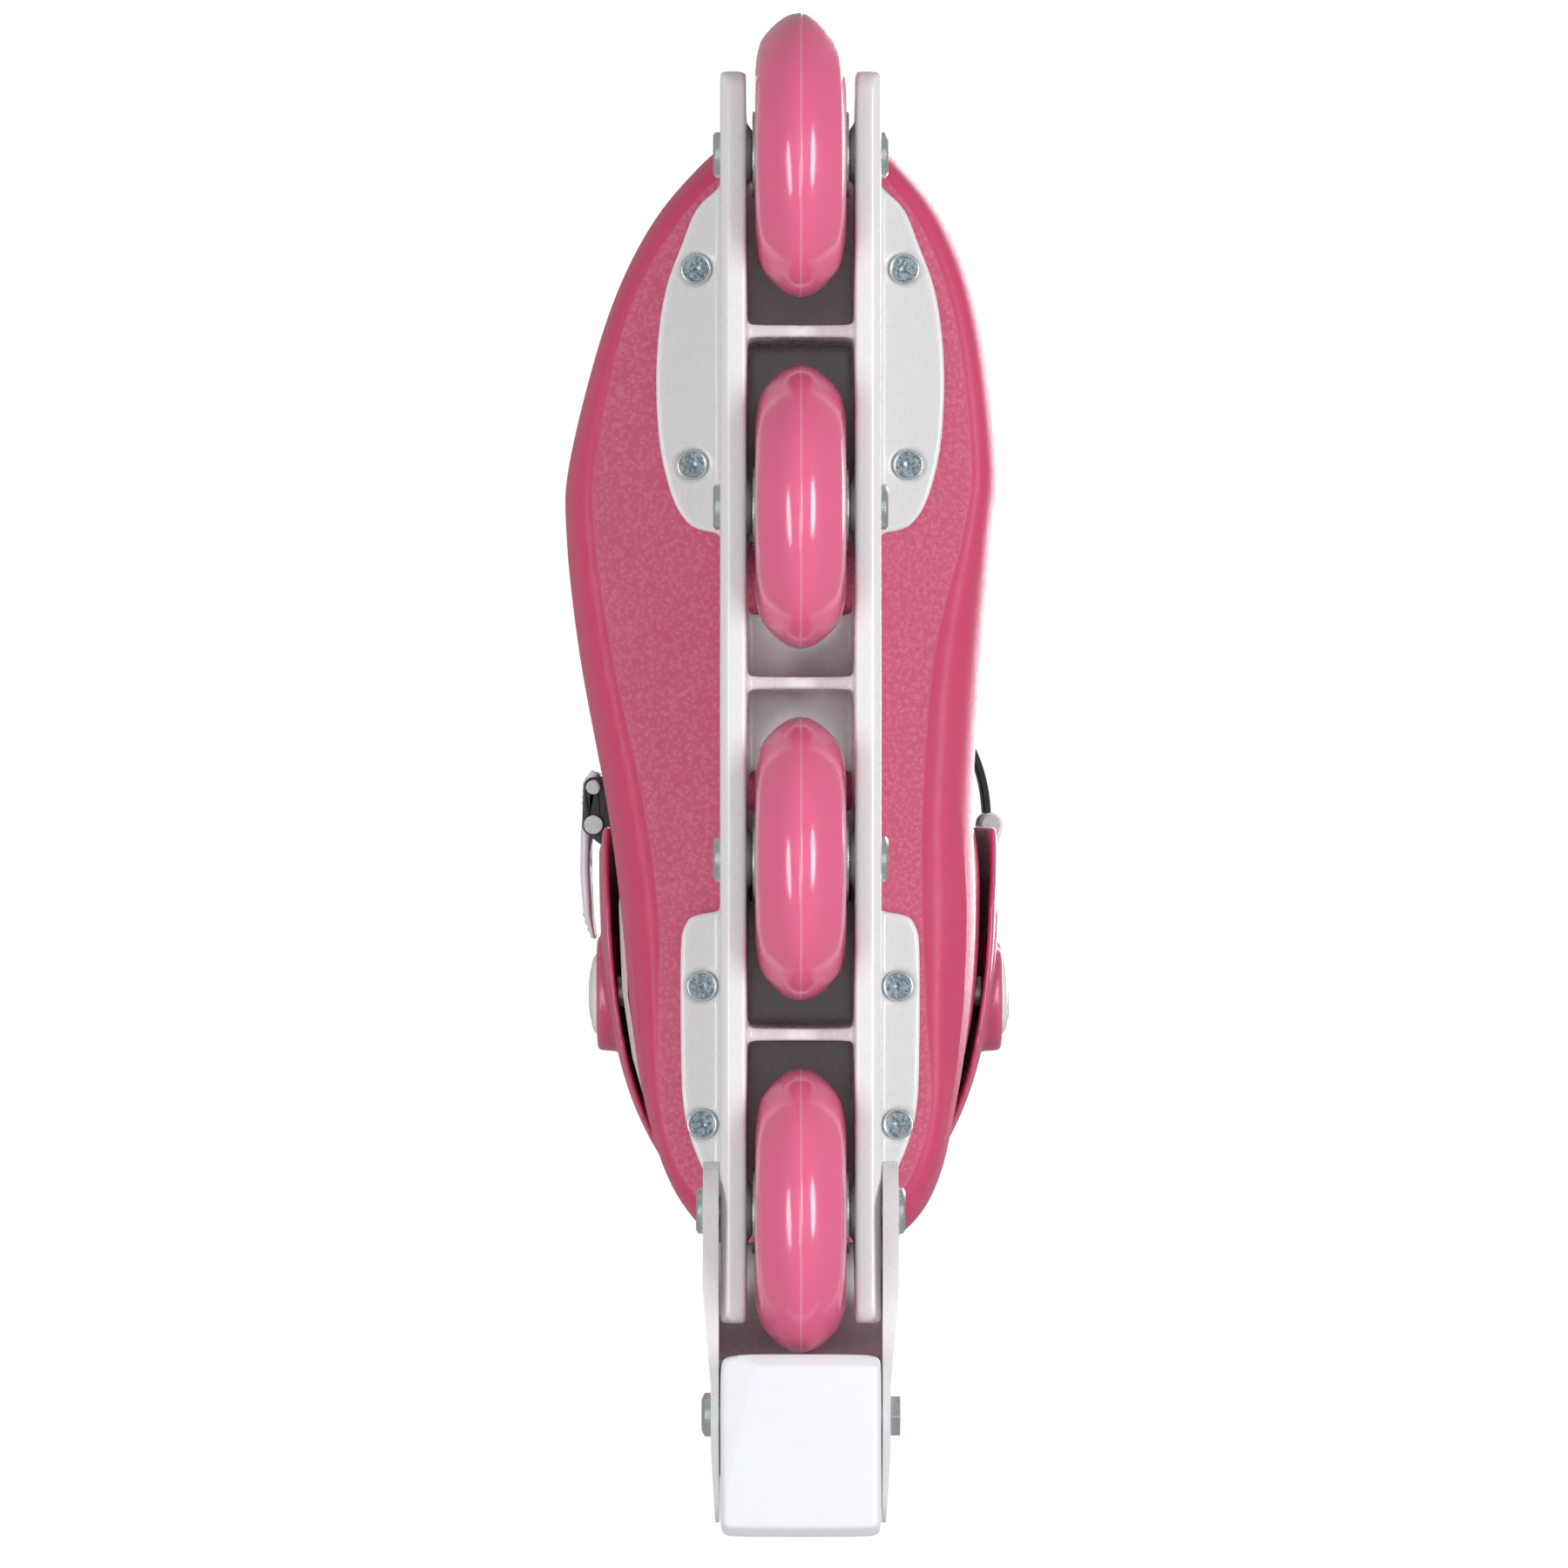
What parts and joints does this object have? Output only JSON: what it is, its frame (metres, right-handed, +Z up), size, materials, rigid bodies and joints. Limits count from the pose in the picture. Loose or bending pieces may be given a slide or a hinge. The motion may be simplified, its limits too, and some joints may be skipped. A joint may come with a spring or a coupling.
{
  "type": "inline skate",
  "caption": "Right-foot inline skate: hard boot with hinged cuff, ratchet strap and instep strap, wheels in one line in a moulded frame, and a rear brake.",
  "frame": {"origin": "on the ground, midway between the first and last axle and midway between the frame's rails", "axes": "+X to the outer side of the right foot, +Y to the toe, +Z up"},
  "size_m": [0.1192, 0.3832, 0.302],
  "materials": {
    "urethane_pink": "glossy cast urethane",
    "hub_white": "satin moulded nylon",
    "bearing_steel": "ground steel",
    "spacer_alloy": "turned aluminium",
    "zinc": "frosted zinc plate",
    "frame_nylon": "glossy moulded nylon",
    "brake_rubber": "smooth white rubber",
    "shell_pink": "satin moulded plastic with a fine pebble grain on the sole",
    "cuff_pink": "semi-gloss moulded plastic",
    "cap_white": "glossy",
    "trim_white": "satin",
    "liner_fabric": "padded knit",
    "tongue_fabric": "padded mesh",
    "insole_foam": "brushed textile over foam",
    "buckle_black": "satin",
    "buckle_white": "glossy, faint lilac",
    "strap_black": "satin, toothed",
    "strap_webbing": "woven webbing",
    "hook_fabric": "hook tape"
  },
  "bodies": {
    "boot": {"frame": "frame_nylon", "frame_rivets": "zinc", "rivet_washers": "zinc", "axle_barrels": "zinc", "axle_screws": "zinc", "rear_axle_barrel": "zinc", "rear_axle_screw": "zinc", "bearing_inner_rings": "bearing_steel", "bearing_balls": "bearing_steel", "bearing_spacers": "spacer_alloy", "brake_holder": "frame_nylon", "brake_pad": "brake_rubber", "brake_bolt": "zinc", "brake_nut": "zinc", "shell": "shell_pink", "shell_trim": "trim_white", "insole": "insole_foam", "liner": "liner_fabric", "tongue": "tongue_fabric", "pivot_nuts": "zinc", "pivot_screws": "zinc", "pivot_caps": "cap_white", "instep_anchor": "buckle_white", "instep_rivets": "zinc", "hook_pad": "hook_fabric"},
    "wheel_1": {"wheel_1_tyre": "urethane_pink", "wheel_1_hub": "hub_white", "wheel_1_bearings": "bearing_steel"},
    "wheel_2": {"wheel_2_tyre": "urethane_pink", "wheel_2_hub": "hub_white", "wheel_2_bearings": "bearing_steel"},
    "wheel_3": {"wheel_3_tyre": "urethane_pink", "wheel_3_hub": "hub_white", "wheel_3_bearings": "bearing_steel"},
    "wheel_4": {"wheel_4_tyre": "urethane_pink", "wheel_4_hub": "hub_white", "wheel_4_bearings": "bearing_steel"},
    "cuff_unit": {"cuff": "cuff_pink", "cuff_liner": "liner_fabric", "tongue_top": "tongue_fabric", "buckle_base": "buckle_black", "buckle_pins": "zinc", "buckle_rivets": "zinc", "strap_anchor": "buckle_white", "anchor_pin": "zinc", "anchor_rivets": "zinc"},
    "lever": {"buckle_lever": "buckle_white"},
    "pawl": {"buckle_pawl": "buckle_white"},
    "ratchet_strap": {"cuff_strap": "strap_black"},
    "wrap_strap": {"instep_strap": "strap_webbing"}
  },
  "joints": [
    {"name": "wheel_1_spin", "type": "hinge", "parent": "boot", "child": "wheel_1", "pos_m": [0, 0.1335, 0.036], "axis": [1, 0, 0], "continuous": true},
    {"name": "wheel_2_spin", "type": "hinge", "parent": "boot", "child": "wheel_2", "pos_m": [0, 0.0445, 0.036], "axis": [1, 0, 0], "continuous": true},
    {"name": "wheel_3_spin", "type": "hinge", "parent": "boot", "child": "wheel_3", "pos_m": [0, -0.0445, 0.036], "axis": [1, 0, 0], "continuous": true},
    {"name": "wheel_4_spin", "type": "hinge", "parent": "boot", "child": "wheel_4", "pos_m": [0, -0.1335, 0.036], "axis": [1, 0, 0], "continuous": true},
    {"name": "cuff_flex", "type": "hinge", "parent": "boot", "child": "cuff_unit", "pos_m": [0, -0.083, 0.178], "axis": [-1, 0, 0], "range_deg": [-4, 15]},
    {"name": "lever_swing", "type": "hinge", "parent": "cuff_unit", "child": "lever", "pos_m": [0.0576, -0.037, 0.24], "axis": [0, 0, 1], "range_deg": [0, 100]},
    {"name": "pawl_lift", "type": "hinge", "parent": "cuff_unit", "child": "pawl", "pos_m": [0.0576, -0.0265, 0.24], "axis": [0, 0, 1], "range_deg": [0, 18]},
    {"name": "ratchet_strap_swing", "type": "hinge", "parent": "cuff_unit", "child": "ratchet_strap", "pos_m": [-0.0538, -0.037, 0.24], "axis": [0, 0, 1], "range_deg": [0, 70]},
    {"name": "wrap_strap_swing", "type": "hinge", "parent": "boot", "child": "wrap_strap", "pos_m": [-0.0395, 0.02724, 0.15898], "axis": [0, -0.9272, 0.3746], "range_deg": [0, 75]}
  ]
}
